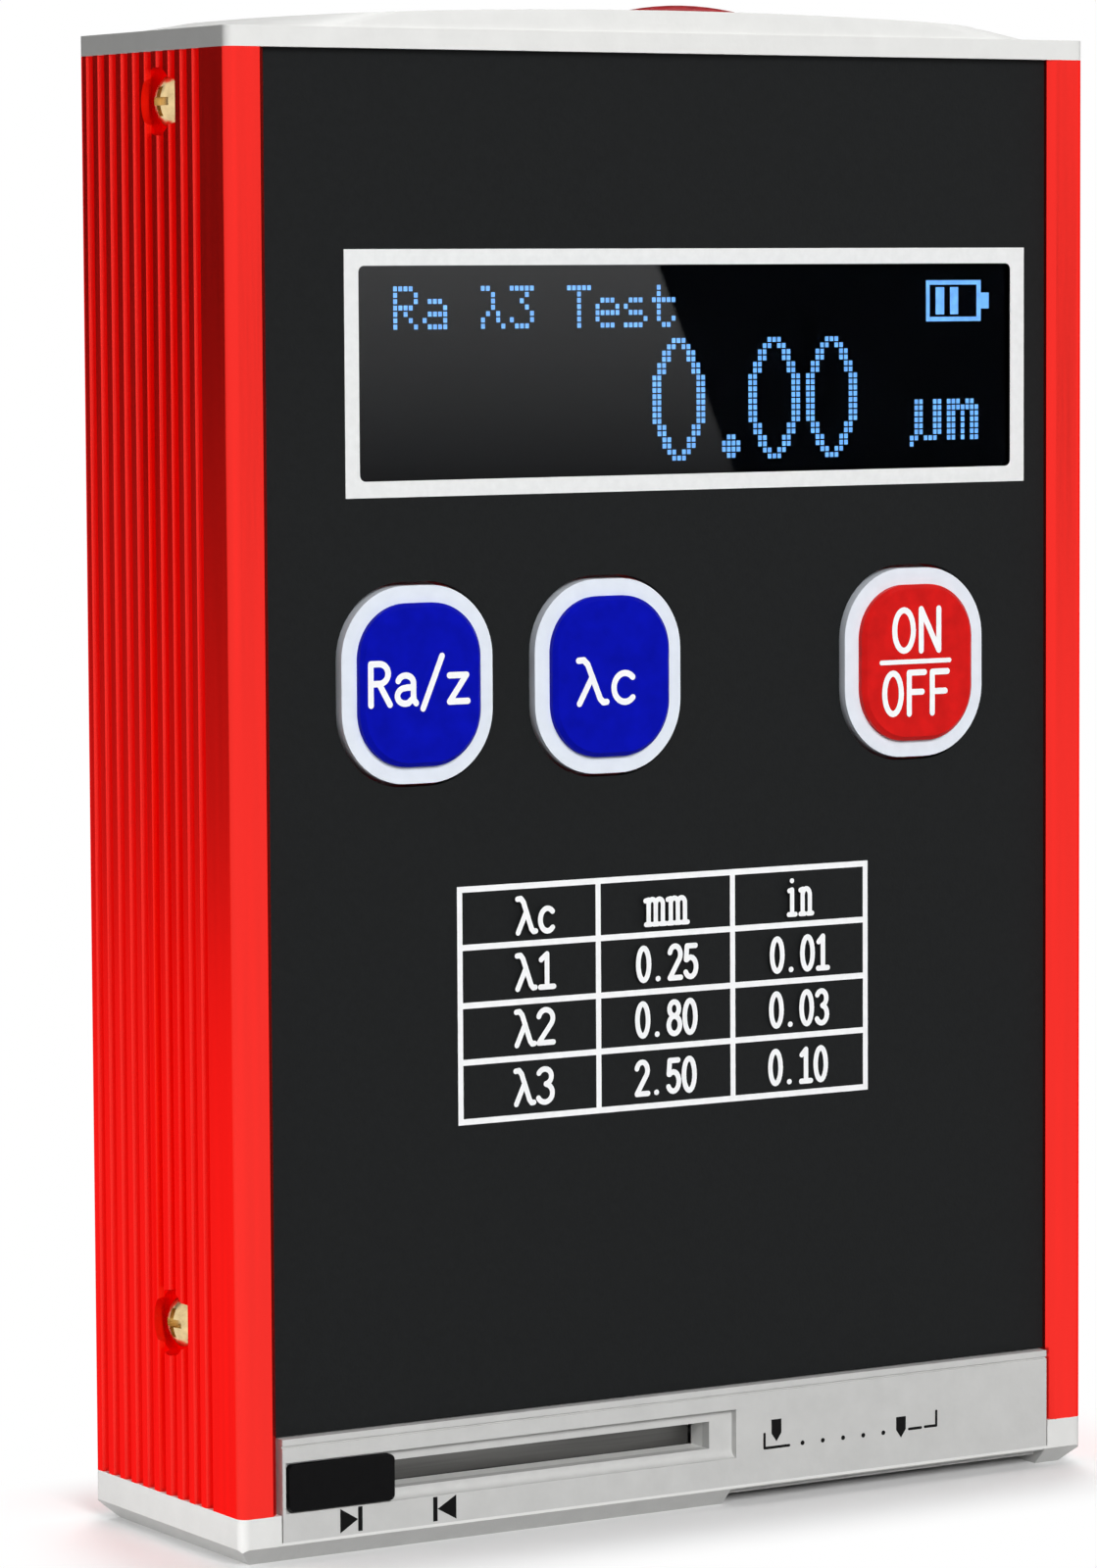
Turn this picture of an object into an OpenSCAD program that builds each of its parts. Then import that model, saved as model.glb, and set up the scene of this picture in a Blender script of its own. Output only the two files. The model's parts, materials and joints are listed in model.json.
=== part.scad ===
// Pocket surface roughness tester.
// Millimetres. Origin at the middle of the base, +Z up, the display faces -Y.

/* [Housing] */
// Width of the extruded housing
housing_w = 70.4; // [69:0.1:78]
// Depth of the extruded housing, from the front strips to the back
housing_d = 21.8; // [21.6:0.1:28]
// Length of the extrusion
housing_h = 99.3; // [98:0.1:125]
// Radius of the four long outer edges
corner_r = 0.7; // [0.4:0.1:1.2]
// Radius of the four long inner edges
cavity_r = 0.8; // [0.4:0.1:1.2]
// Thickness of the grooved side walls
side_wall = 2.6; // [2.4:0.05:2.8]
// Thickness of the back wall
back_wall = 1.6; // [1.2:0.1:2.2]
// Thickness of the wall behind the front panel
front_wall = 1.4; // [1.2:0.1:1.8]
// Width of the bare strips beside the front panel
strip_w = 3; // [2.8:0.1:3.4]
// Depth of the channel that holds the front panel
channel_depth = 1.5; // [1.3:0.1:1.8]
// Chamfer on the inner edges of the strips
strip_chamfer = 0.5; // [0.2:0.1:0.8]

/* [Side grooves] */
// Number of grooves on each side
groove_count = 10; // [4:1:10]
// Distance from groove to groove
groove_pitch = 1.73; // [1.5:0.01:1.8]
// Width of a groove at its mouth
groove_w = 1.0; // [0.6:0.05:1.2]
// Depth of a groove
groove_depth = 0.45; // [0.2:0.05:0.6]
// How much each flank of a groove leans
groove_lean = 0.15; // [0:0.01:0.25]
// Distance from the front to the first groove
groove_start = 4.45; // [3.5:0.05:5]

/* [Front panel] */
// Thickness of the front overlay
overlay_t = 0.8; // [0.5:0.05:1]
// Display window's left edge, from the front channel's left edge
window_left = 7.3; // [6:0.1:12]
// Display window's right edge, from the front channel's right edge
window_right = 3.1; // [2.8:0.1:8]
// Height of the display window
window_h = 14.6; // [12:0.1:16]
// Display window's centre, below the top of the housing
window_drop = 21.9; // [20:0.1:23]
// Glass of the display, past the window on every side
glass_edge = 1.4; // [1:0.1:1.8]

/* [Keys] */
// Width of a key with its rim
key_w = 11.9; // [10.5:0.1:12.5]
// Height of a key with its rim
key_h = 13.55; // [12.5:0.05:14]
// Corner radius of a key
key_r = 5; // [4:0.1:5.2]
// Width of the white rim round the pad
key_rim = 1.18; // [0.8:0.02:1.6]
// Height of the rim above the overlay
key_proud = 0.35; // [0.1:0.05:0.6]
// Height of the pad above the rim
pad_h = 0.7; // [0.4:0.05:0.9]
// Bevel round the pad's face
pad_bevel = 0.3; // [0.1:0.05:0.35]
// Travel of a key
key_travel = 0.6; // [0.3:0.05:0.8]
// Height of the key row above the lower end of the housing
key_row = 56.2; // [55:0.1:58]
// Parameter key's centre, from the front channel's left edge
parameter_key_in = 11.5; // [10.5:0.1:13]
// Cut-off key's centre, from the parameter key's
key_pitch = 15.3; // [14.5:0.1:20]
// Power key's centre, from the front channel's right edge
power_key_in = 11.8; // [10.5:0.1:14]
// How far a key's flange reaches past its rim, behind the wall
key_flange = 0.9; // [0.5:0.1:1.2]
// Thickness of a key's flange
key_flange_t = 0.9; // [0.6:0.1:1.2]
// Diameter of the stems under the keys and the start button
key_stem_d = 2.2; // [1.6:0.1:2.6]

/* [End caps] */
// Wall of both end caps
cap_wall = 1.5; // [1.2:0.1:1.8]
// Height of the top cap's edge
cap_edge = 1.4; // [1.2:0.1:2]
// Height of the top cap's crown above the housing
crown_h = 2.95; // [2.6:0.05:3.6]
// Radius of the crown along the width
crown_r = 560; // [450:10:900]
// Length of the shoulder from the cap's end up to the crown
crown_shoulder = 5.2; // [4:0.1:8]
// Corner radius of the crown, seen from above
crown_corner = 8.5; // [5:0.5:10]
// Depth of the top cap's plug in the housing
plug_depth = 7; // [6:0.1:8]
// Height of the bottom cap's upright rim
rim_h = 2.1; // [1.9:0.1:3]
// Chamfer round the base
base_chamfer = 1.3; // [0.9:0.1:1.4]
// Thickness of the sole under the shutter
sole_t = 1.1; // [1:0.05:1.2]

/* [Start button] */
// Diameter of the start button
start_d = 10; // [8:0.1:11]
// Start button's centre, right of the middle
start_x = 7; // [4:0.1:8]
// Radius of the start button's dome
start_dome_r = 18.5; // [15:0.5:30]
// Height of the dome above the crown
start_proud = 0.9; // [0.7:0.05:1.4]
// Travel of the start button
start_travel = 0.5; // [0.3:0.05:0.7]
// Length of the posts that carry the start board
start_post = 6.7; // [6.4:0.1:7]

/* [Slide panel] */
// Height of the slide panel's top above the lower end of the housing
apron_rise = 5.2; // [4.9:0.1:7]
// Thickness of the slide panel
apron_t = 1.5; // [1.3:0.05:1.7]
// Upright edge of the base under the slide panel
apron_sill = 0.2; // [0.15:0.05:0.4]
// Gap between the slide panel and each strip
apron_gap = 0.25; // [0.2:0.05:0.6]
// Depth of the knob's pocket
pocket_depth = 0.6; // [0.55:0.05:0.8]
// Edge left at the pocket's end
pocket_edge = 0.25; // [0.2:0.05:0.6]
// Height of the slot in the pocket
slot_h = 1.95; // [1.7:0.05:2]
// Width of the lip line under the panel's top edge
lip_w = 0.15; // [0.1:0.05:0.4]
// Distance of the lip line from the panel's top edge
lip_drop = 0.45; // [0.4:0.05:0.9]

/* [Shutter] */
// Width of the shutter knob
knob_w = 8.2; // [7:0.05:9]
// Height of the shutter knob
knob_h = 3.2; // [3:0.05:3.3]
// Knob's centre above the lower end of the housing
knob_rise = 1.82; // [1.8:0.02:2]
// How far the knob stands out of the slide panel
knob_proud = 0.3; // [0.2:0.05:0.6]
// How far the knob's face plate reaches into the pocket
knob_sink = 0.3; // [0.1:0.05:0.3]
// Width of the stem behind the knob
stem_w = 5; // [4:0.1:6]
// Distance from the knob's end to its stem
stem_inset = 1.3; // [0.8:0.1:1.4]
// Travel of the shutter
shutter_travel = 28; // [27.5:0.1:29]
// Thickness of the shutter plate
shutter_t = 0.5; // [0.4:0.05:0.55]
// How far the shutter plate reaches over the edge of the port
shutter_lip = 0.8; // [0.6:0.1:1.1]
// How far the shutter's upright strip reaches over the edge of the slot
strip_lip = 0.4; // [0.2:0.1:1]

/* [Pickup port] */
// Half the width of the port, front to back
port_half = 5.5; // [4.5:0.1:5.6]
// Length of the port before the stylus
port_lead = 3.8; // [3.4:0.1:4]
// Length of the port past the stylus at the end of its traverse
port_tail = 6.2; // [5:0.1:6.4]
// Depth of the relief that opens the port to the front
relief_depth = 0.65; // [0.4:0.05:0.7]
// Distance from the relief to the slide panel's end
relief_edge = 0.1; // [0:0.05:2]
// Depth of the relief under the slide panel itself
notch_depth = 1.2; // [0.8:0.05:1.3]

/* [Traverse drive] */
// Traverse of the pickup
traverse = 10.8; // [9:0.1:11.5]
// Height of the lead screw's axis
drive_axis_h = 19; // [18.8:0.1:21]
// Diameter of the lead screw
screw_d = 3; // [2.5:0.1:3.2]
// Diameter of the guide rods
rod_d = 2.5; // [2:0.1:2.8]
// Distance of each guide rod from the middle of the drive
rod_reach = 4.6; // [4.4:0.1:4.7]
// Distance of the guide rods below the lead screw
rod_drop = 4.6; // [4.4:0.1:4.8]
// Thickness of the drive frame's cheeks and plate
frame_t = 1.8; // [1.5:0.1:2]
// Underside of the frame's plate above the lead screw
frame_rise = 6.2; // [5.8:0.1:7]
// Half the width of the drive frame
frame_half = 6; // [5.9:0.05:6.1]
// Thickness of the posts that carry the drive frame
tower_t = 3.2; // [3:0.1:3.4]
// Width of those posts
tower_w = 11; // [9:0.5:12]
// Length of the carriage
carriage_l = 10; // [9:0.1:11]
// Diameter of the lead nut
nut_d = 5.4; // [5:0.1:5.8]
// Length of the shaft coupling
coupling_l = 6; // [5:0.1:6.5]
// Diameter of the shaft coupling
coupling_d = 5; // [4.4:0.1:6]
// Length of the motor's gearbox
gearbox_l = 9; // [8:0.1:9.5]
// Gap between the motor and the post at its end
motor_end_gap = 1.9; // [1:0.1:4]
// Width of the motor
motor_w = 12; // [10:0.1:12]
// Height of the motor
motor_h = 10; // [8:0.1:10.4]
// Outer diameter of the lead bearing
bearing_d = 5; // [4.4:0.1:6]

/* [Pickup] */
// Place of the stylus along the width at the start of its traverse
stylus_x = 8.2; // [8:0.1:9]
// Height of the pickup's axis
pickup_h = 5; // [4.9:0.1:5.4]
// Diameter of the pickup
pickup_d = 4.4; // [4:0.1:4.5]
// Bore of the pickup's nose
pickup_bore = 3.2; // [2.8:0.1:3.4]
// Height of the pivot that lifts the pickup
pivot_h = 7; // [6.8:0.1:7.4]
// Diameter of that pivot's pin
pivot_d = 1.5; // [1.2:0.1:1.8]
// Width of the pickup's lug on that pin
lug_w = 3; // [2.4:0.1:3.2]
// Length of the stylus lever
lever_l = 9.2; // [8:0.1:10]
// Diameter of the lever's pin
lever_pin_d = 1; // [0.8:0.05:1.1]
// Diameter of the stylus shank
shank_d = 0.9; // [0.7:0.05:1]
// Radius of the skid
skid_r = 1.3; // [1:0.05:1.5]
// Distance from the stylus to the skid
skid_lead = 2.2; // [2.1:0.05:2.4]
// Skid and stylus above the surface that the base stands on
tip_clear = 0.04; // [0.02:0.01:0.1]

/* [Electronics] */
// Thickness of the circuit boards
board_t = 1.6; // [1:0.1:1.6]
// Gap between the main board and each side wall
board_edge = 1.6; // [1:0.1:3]
// Length of the main board
board_l = 54.6; // [50:0.1:60]
// Distance from the front wall to the main board
board_standoff = 5.75; // [5.6:0.05:6.5]
// Thickness of the display's carrier board
carrier_t = 1; // [0.8:0.1:1.2]
// Side of a key switch
switch_w = 6; // [5:0.1:7]
// Height of a key switch
switch_h = 3.4; // [3:0.05:3.5]
// Thickness of the battery
battery_t = 6; // [4:0.1:8]
// Width of the battery
battery_w = 34; // [28:0.5:38]
// Length of the battery
battery_l = 44; // [36:0.5:48]
// Width of the charge socket
socket_w = 7.7; // [7:0.1:9]
// Height of the charge socket
socket_h = 3.9; // [3.2:0.1:4.5]

/* [Screws] */
// Thread diameter of the screws
thread_d = 2; // [1.6:0.1:2.2]
// Diameter of the screw heads
head_d = 3.4; // [3:0.1:3.8]
// Height of the screw heads
head_h = 1.2; // [0.9:0.05:1.25]
// Diameter of the spot-faces round the case screws
spot_d = 4.6; // [4.2:0.1:5]
// Depth of the spot-faces
spot_depth = 1.3; // [1.25:0.05:1.5]
// Case screws, behind the front strips
case_screw_back = 10.05; // [9.5:0.05:11]
// Upper case screws, below the top of the housing
upper_screw_drop = 3.4; // [3:0.1:3.8]
// Lower case screws, above the lower end of the housing
lower_screw_rise = 12.1; // [10:0.1:14]

/* [Clearances] */
// Gap between covers that meet
cover_gap = 0.1; // [0.05:0.01:0.15]
// Gap round keys and buttons
key_gap = 0.25; // [0.15:0.05:0.35]
// Gap round the shutter knob
knob_gap = 0.15; // [0.1:0.05:0.25]
// Gap between the shutter plate and its guides
slide_gap = 0.12; // [0.08:0.02:0.15]
// Radial gap between pins or shafts and their bores
run_gap = 0.04; // [0.02:0.01:0.08]
// Gap between inner parts that pass each other
inner_gap = 0.3; // [0.2:0.05:0.4]

/* [Hidden] */
$fn = 96;

// Housing planes
front_y = -housing_d / 2;
back_y = housing_d / 2;
foot_h = rim_h + base_chamfer;
top_z = foot_h + housing_h;
channel_y = front_y + channel_depth;
inner_front_y = channel_y + front_wall;
inner_back_y = back_y - back_wall;
inner_x = housing_w / 2 - side_wall;
panel_x = housing_w / 2 - strip_w;
overlay_y = channel_y - overlay_t;
pickup_y = inner_front_y + inner_gap + max(frame_half, motor_w / 2);
past = 1;

// Plugs of the end caps
plug_x = inner_x - cover_gap;
plug_y0 = inner_front_y + cover_gap;
plug_y1 = inner_back_y - cover_gap;
plug_mid_y = (plug_y0 + plug_y1) / 2;
plug_in_x = plug_x - cap_wall;
plug_in_y1 = plug_y1 - cap_wall;

// Display
window_z = top_z - window_drop;
window_w = 2 * panel_x - window_left - window_right;
window_x = (window_left - window_right) / 2;
glass_w = window_w + 2 * glass_edge;
glass_h = window_h + 2 * glass_edge;
carrier_h = glass_h + 2;
carrier_w = glass_w + 2;

// Boards
board_y0 = inner_front_y + board_standoff;
board_y1 = board_y0 + board_t;
ceiling_z = top_z + 1;
start_board_z1 = ceiling_z - start_post;
board_z1 = start_board_z1 - board_t - inner_gap;
board_z0 = board_z1 - board_l;
board_w = 2 * (inner_x - board_edge);
standoff_d = 3.6;
standoff_in = standoff_d / 2 + 0.2;
standoff_x = board_w / 2 - standoff_in;
switch_bore = key_stem_d + 4 * run_gap;
stem_entry = 0.4;
switch_spare = 1.4;
switch_bore_depth = stem_entry + max(key_travel, start_travel) + switch_spare;
key_z = foot_h + key_row;
parameter_key_x = parameter_key_in - panel_x;
cutoff_key_x = parameter_key_x + key_pitch;
power_key_x = panel_x - power_key_in;

// Charge socket
socket_l = 9;
socket_recess = 1.2;
socket_z = board_z0 + 0.55 * board_l;
socket_y = board_y1 + socket_h / 2;
socket_x1 = housing_w / 2 - socket_recess;

// Case screws
screw_y = front_y + case_screw_back;
screw_seat_x = housing_w / 2 - spot_depth;
screw_l = 4;
upper_screw_z = top_z - upper_screw_drop;
lower_screw_z = foot_h + lower_screw_rise;
hole_d = thread_d + 2 * cover_gap;
pilot_d = thread_d + 2 * run_gap;

// Slide panel and knob
apron_x = panel_x - apron_gap;
apron_z0 = base_chamfer + apron_sill;
apron_z1 = foot_h + apron_rise;
apron_y0 = front_y;
apron_y1 = apron_y0 + apron_t;
knob_z = foot_h + knob_rise;
pocket_x0 = pocket_edge - apron_x;
pocket_x1 = pocket_x0 + knob_w + shutter_travel + 2 * knob_gap;
pocket_z0 = knob_z - knob_h / 2 - knob_gap;
pocket_z1 = knob_z + knob_h / 2 + knob_gap;
knob_x0 = pocket_x0 + knob_gap;
stem_x0 = knob_x0 + stem_inset;
stem_x1 = stem_x0 + stem_w;
stem_h = slot_h - 2 * knob_gap;
slot_x0 = stem_x0 - knob_gap;
slot_x1 = stem_x1 + shutter_travel + knob_gap;
slot_wall_y1 = apron_y1 + cap_wall;

// Port and shutter plate
port_x0 = stylus_x - port_lead;
port_x1 = stylus_x + traverse + port_tail;
port_y0 = pickup_y - port_half;
port_y1 = pickup_y + port_half;
plate_z0 = sole_t + slide_gap;
plate_z1 = plate_z0 + shutter_t;
plate_y0 = slot_wall_y1 + slide_gap;
plate_y1 = port_y1 + shutter_lip;
plate_x1 = port_x1 + inner_gap - shutter_travel;
strip_x1 = min(slot_x1, plug_in_x - inner_gap - shutter_travel);
strip_z1 = knob_z + slot_h / 2 + strip_lip;
guide_z0 = plate_z1 + slide_gap;
guide_t = 0.9;
rail_t = 1.2;

// Traverse drive
axis_z = drive_axis_h;
rod_z = axis_z - rod_drop;
tower_x = plug_x - tower_t;
tower_y0 = pickup_y - 3;
tower_y1 = tower_y0 + tower_w;
frame_z = axis_z + frame_rise;
frame_y0 = pickup_y - frame_half;
frame_y1 = pickup_y + frame_half;
cheek_z0 = rod_z - rod_d / 2 - 0.7;
left_cheek_x = 2 * inner_gap - tower_x;
carriage_x0 = left_cheek_x + frame_t + inner_gap;
carriage_x1 = carriage_x0 + carriage_l;
carriage_z0 = cheek_z0 - 1;
carriage_z1 = axis_z + nut_d / 2 + 1;
coupling_x0 = carriage_x1 + traverse + inner_gap;
coupling_x1 = coupling_x0 + coupling_l;
right_cheek_x = coupling_x1 + inner_gap;
motor_x0 = right_cheek_x + frame_t;
gearbox_x1 = motor_x0 + gearbox_l;
motor_cap_l = 0.8;
motor_x1 = tower_x - motor_end_gap - motor_cap_l;
boss_d = 4.4;
shaft_joint_x = (coupling_x0 + coupling_x1) / 2;
tower_screw_x = tower_x + tower_t / 2;
tower_screw_inset = 2.4;

// Pickup
ear_t = 1.3;
ear_r = 2;
pivot_x = carriage_x1 - ear_r - 0.2;
ear_y0 = lug_w / 2 + 0.2;
lug_r = 1.8;
tube_x0 = pivot_x + ear_r + 1.6;
nose_x1 = stylus_x + skid_lead + skid_r + 0.1;
lever_x = stylus_x - lever_l;
bore_x0 = lever_x - 2;
skid_x = stylus_x + skid_lead;
skid_stem_d = 1.6;
shank_z0 = 1.2;
stylus_slot_w = shank_d + 2 * inner_gap;

// Rounded rectangle about the middle
module rounded(w, h, r) {
    square([w - 2 * r, h], center = true);
    square([w, h - 2 * r], center = true);
    for (sx = [-1, 1], sy = [-1, 1])
        translate([sx * (w / 2 - r), sy * (h / 2 - r)]) circle(r);
}

// Box between two corners
module block(low, high) {
    translate(low) cube(high - low);
}

// A flat shape drawn in x and z, as a plate from y to y + t
module upright(y, t) {
    translate([0, y + t, 0]) rotate([90, 0, 0]) linear_extrude(t) children();
}

// A flat shape drawn in y and z, as a bar from x0 to x1
module along_x(x0, x1) {
    translate([x0, 0, 0]) rotate([90, 0, 90]) linear_extrude(x1 - x0) children();
}

// Round bar along x
module rod_x(x0, x1, y, z, d) {
    translate([x0, y, z]) rotate([0, 90, 0]) cylinder(d = d, h = x1 - x0);
}

// Round bar along y
module rod_y(y0, y1, x, z, d) {
    translate([x, y0, z]) rotate([-90, 0, 0]) cylinder(d = d, h = y1 - y0);
}

// Pan-head screw, its head on the plane z = 0 and its thread below
module pan_screw(length) {
    dome_r = 2.2;
    cross_w = 0.55;
    cross_l = 2;
    cross_depth = 0.7;
    translate([0, 0, -length]) cylinder(d = thread_d, h = length);
    difference() {
        intersection() {
            cylinder(d = head_d, h = head_h);
            translate([0, 0, head_h - dome_r]) sphere(r = dome_r);
        }
        for (turn = [0, 90])
            rotate(turn) translate([-cross_l / 2, -cross_w / 2, head_h - cross_depth])
                cube([cross_l, cross_w, cross_depth]);
    }
}

// Places children at each case screw, with +Z out of the housing's side
module at_case_screws() {
    for (side = [-1, 1], z = [lower_screw_z, upper_screw_z])
        translate([side * screw_seat_x, screw_y, z]) rotate([0, side * 90, 0]) children();
}

// Outline of one key, grown by a margin, in x and z
module key_outline(x, grow) {
    translate([x, key_z]) rounded(key_w + 2 * grow, key_h + 2 * grow, key_r + grow);
}

module key_outlines(grow) {
    for (x = [parameter_key_x, cutoff_key_x, power_key_x])
        key_outline(x, grow);
}

module window_outline(w, h) {
    translate([window_x, window_z]) square([w, h], center = true);
}

// Section of the extrusion
module housing_profile() {
    flank = groove_w / 2 - groove_lean;
    difference() {
        rounded(housing_w, housing_d, corner_r);
        translate([0, (inner_front_y + inner_back_y) / 2])
            rounded(2 * inner_x, inner_back_y - inner_front_y, cavity_r);
        translate([-panel_x, front_y - past]) square([2 * panel_x, channel_depth + past]);
        for (side = [-1, 1]) {
            translate([side * panel_x, front_y]) rotate(45)
                square(strip_chamfer * sqrt(2), center = true);
            for (i = [0:groove_count - 1])
                translate([side * housing_w / 2, front_y + groove_start + i * groove_pitch])
                    polygon([
                        [0, -groove_w / 2],
                        [0, groove_w / 2],
                        [-side * groove_depth, flank],
                        [-side * groove_depth, -flank]
                    ]);
        }
    }
}

module housing_tube() {
    color("red") difference() {
        translate([0, 0, foot_h]) linear_extrude(housing_h) housing_profile();
        upright(channel_y - past, front_wall + 2 * past) {
            window_outline(glass_w + 2 * cover_gap, glass_h + 2 * cover_gap);
            key_outlines(key_gap);
        }
        block([-panel_x, front_y - past, foot_h - past], [panel_x, inner_front_y, apron_z1 + cover_gap]);
        at_case_screws() {
            cylinder(d = spot_d, h = spot_depth + past);
            translate([0, 0, -side_wall]) cylinder(d = hole_d, h = side_wall + past);
        }
        block(
            [inner_x - past, board_y1 - inner_gap, socket_z - socket_w / 2 - inner_gap],
            [housing_w / 2 + past, board_y1 + socket_h + inner_gap, socket_z + socket_w / 2 + inner_gap]
        );
    }
}

module front_overlay() {
    color("#232525") upright(overlay_y, overlay_t) difference() {
        translate([cover_gap - panel_x, apron_z1 + cover_gap])
            square([2 * (panel_x - cover_gap), top_z - apron_z1 - cover_gap]);
        window_outline(window_w, window_h);
        key_outlines(key_gap);
    }
}

module display_window() {
    color("#101418", 0.5) upright(overlay_y, overlay_t) window_outline(window_w, window_h);
}

module oled_panel() {
    color("#05070a") upright(channel_y + cover_gap, front_wall - cover_gap) window_outline(glass_w, glass_h);
}

module display_board() {
    color("darkgreen") upright(inner_front_y, carrier_t) window_outline(carrier_w, carrier_h);
}

module display_header() {
    header_l = 20;
    header_w = 2.5;
    color("#1a1a1a") upright(inner_front_y + carrier_t, board_standoff - carrier_t)
        translate([window_x, window_z - glass_h / 2 + header_w]) square([header_l, header_w], center = true);
}

module main_board() {
    color("darkgreen") block([-board_w / 2, board_y0, board_z0], [board_w / 2, board_y1, board_z1]);
}

module board_standoffs() {
    color("goldenrod")
        for (side = [-1, 1], z = [board_z0 + standoff_in, board_z1 - standoff_in])
            rod_y(inner_front_y, board_y0, side * standoff_x, z, standoff_d);
}

// White base of a key: its face, its flange behind the wall and its stem
module key_base(x) {
    flange_y = inner_front_y + slide_gap;
    color("#ebeef5") {
        upright(overlay_y - key_proud, flange_y - overlay_y + key_proud) key_outline(x, 0);
        upright(flange_y, key_flange_t) key_outline(x, key_flange);
        rod_y(flange_y + key_flange_t, board_y0 - switch_h + stem_entry, x, key_z, key_stem_d);
    }
}

// Coloured pad on a key's base
module key_pad(x, tint) {
    pad_y = overlay_y - key_proud;
    skin = 0.01;
    color(tint) hull() {
        upright(pad_y - pad_h + pad_bevel, pad_h - pad_bevel) key_outline(x, -key_rim);
        upright(pad_y - pad_h, skin) key_outline(x, -key_rim - pad_bevel);
    }
}

// Push switch with a guide bore, its back on the plane z = 0
module push_switch() {
    color("#2a2a2a") difference() {
        translate([-switch_w / 2, -switch_w / 2, 0]) cube([switch_w, switch_w, switch_h]);
        translate([0, 0, switch_h - switch_bore_depth]) cylinder(d = switch_bore, h = switch_bore_depth + past);
    }
}

module key_switch(x) {
    translate([x, board_y0, key_z]) rotate([90, 0, 0]) push_switch();
}

module parameter_key() {
    key_base(parameter_key_x);
}

module parameter_key_pad() {
    key_pad(parameter_key_x, "mediumblue");
}

module parameter_switch() {
    key_switch(parameter_key_x);
}

module cutoff_key() {
    key_base(cutoff_key_x);
}

module cutoff_key_pad() {
    key_pad(cutoff_key_x, "mediumblue");
}

module cutoff_switch() {
    key_switch(cutoff_key_x);
}

module power_key() {
    key_base(power_key_x);
}

module power_key_pad() {
    key_pad(power_key_x, "firebrick");
}

module power_switch() {
    key_switch(power_key_x);
}

// Raised crown of the top cap, arched along the width and rounded at its corners
module cap_crown() {
    edge_w = 0.5;
    front_in = 0.15;
    skin = 0.02;
    low_z = top_z + cap_edge - skin;
    hull() {
        translate([0, 0, low_z]) linear_extrude(skin)
            rounded(housing_w - 2 * edge_w, housing_d - 2 * front_in, crown_corner, $fn = 48);
        intersection() {
            translate([0, 0, low_z]) linear_extrude(crown_h)
                rounded(housing_w - 2 * crown_shoulder, housing_d - 4 * front_in, crown_corner, $fn = 48);
            translate([0, 0, top_z + crown_h - crown_r]) rotate([90, 0, 0])
                cylinder(r = crown_r, h = housing_d, center = true, $fn = 720);
        }
    }
}

module top_cap() {
    hollow_w = 44;
    hollow_d = 12;
    screw_boss = 5;
    screw_boss_l = 4;
    post_d = 4;
    post_reach = 9;
    color("#e6e6e4") difference() {
        union() {
            difference() {
                union() {
                    translate([0, 0, top_z]) linear_extrude(cap_edge) rounded(housing_w, housing_d, corner_r);
                    cap_crown();
                }
                block([-hollow_w / 2, -hollow_d / 2, top_z - past], [hollow_w / 2, hollow_d / 2, ceiling_z]);
            }
            translate([0, plug_mid_y, top_z - plug_depth]) linear_extrude(plug_depth) difference() {
                rounded(2 * plug_x, plug_y1 - plug_y0, cavity_r);
                square([2 * plug_in_x, plug_y1 - plug_y0 - 2 * cap_wall], center = true);
            }
            for (side = [-1, 1])
                translate([side * (plug_in_x - screw_boss_l / 2), screw_y, upper_screw_z])
                    cube([screw_boss_l + cap_wall / 2, screw_boss, screw_boss], center = true);
            for (side = [-1, 1])
                translate([start_x + side * post_reach, 0, start_board_z1]) cylinder(d = post_d, h = start_post);
        }
        translate([start_x, 0, ceiling_z - past]) cylinder(d = start_d + 2 * key_gap, h = crown_h + past);
        for (side = [-1, 1])
            translate([side * (screw_seat_x - screw_l - inner_gap), screw_y, upper_screw_z])
                rotate([0, side * 90, 0]) cylinder(d = pilot_d, h = screw_l + inner_gap);
    }
}

module start_button() {
    flange_t = 0.8;
    flange_reach = 0.9;
    flange_z1 = ceiling_z - slide_gap;
    dome_z = top_z + crown_h + start_proud;
    stem_z0 = start_board_z1 + switch_h - stem_entry;
    color("crimson") translate([start_x, 0, 0]) {
        intersection() {
            translate([0, 0, flange_z1 - flange_t]) cylinder(d = start_d, h = dome_z - flange_z1 + flange_t);
            translate([0, 0, dome_z - start_dome_r]) sphere(r = start_dome_r);
        }
        translate([0, 0, flange_z1 - flange_t]) cylinder(d = start_d + 2 * flange_reach, h = flange_t);
        translate([0, 0, stem_z0]) cylinder(d = key_stem_d, h = flange_z1 - stem_z0 - flange_t / 2);
    }
}

module start_switch() {
    translate([start_x, 0, start_board_z1]) push_switch();
}

module start_board() {
    half_l = 12;
    half_w = 5;
    color("darkgreen") block(
        [start_x - half_l, -half_w, start_board_z1 - board_t],
        [start_x + half_l, half_w, start_board_z1]
    );
}

// Wedge section that chamfers the lower edges of a slab that is w wide
module chamfered_section(w) {
    low = w / 2 - base_chamfer - past;
    high = w / 2 + foot_h;
    top = base_chamfer + foot_h;
    polygon([[-low, -past], [low, -past], [high, top], [-high, top]]);
}

// Slab with rounded corners and a chamfer round its lower edge
module chamfered_base() {
    intersection() {
        linear_extrude(foot_h) rounded(housing_w, housing_d, corner_r);
        along_x(-housing_w, housing_w) chamfered_section(housing_d);
        upright(-housing_d, 2 * housing_d) chamfered_section(housing_w);
    }
}

module slot_cut(y0, y1) {
    block([slot_x0, y0, knob_z - slot_h / 2], [slot_x1, y1, knob_z + slot_h / 2]);
}

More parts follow.
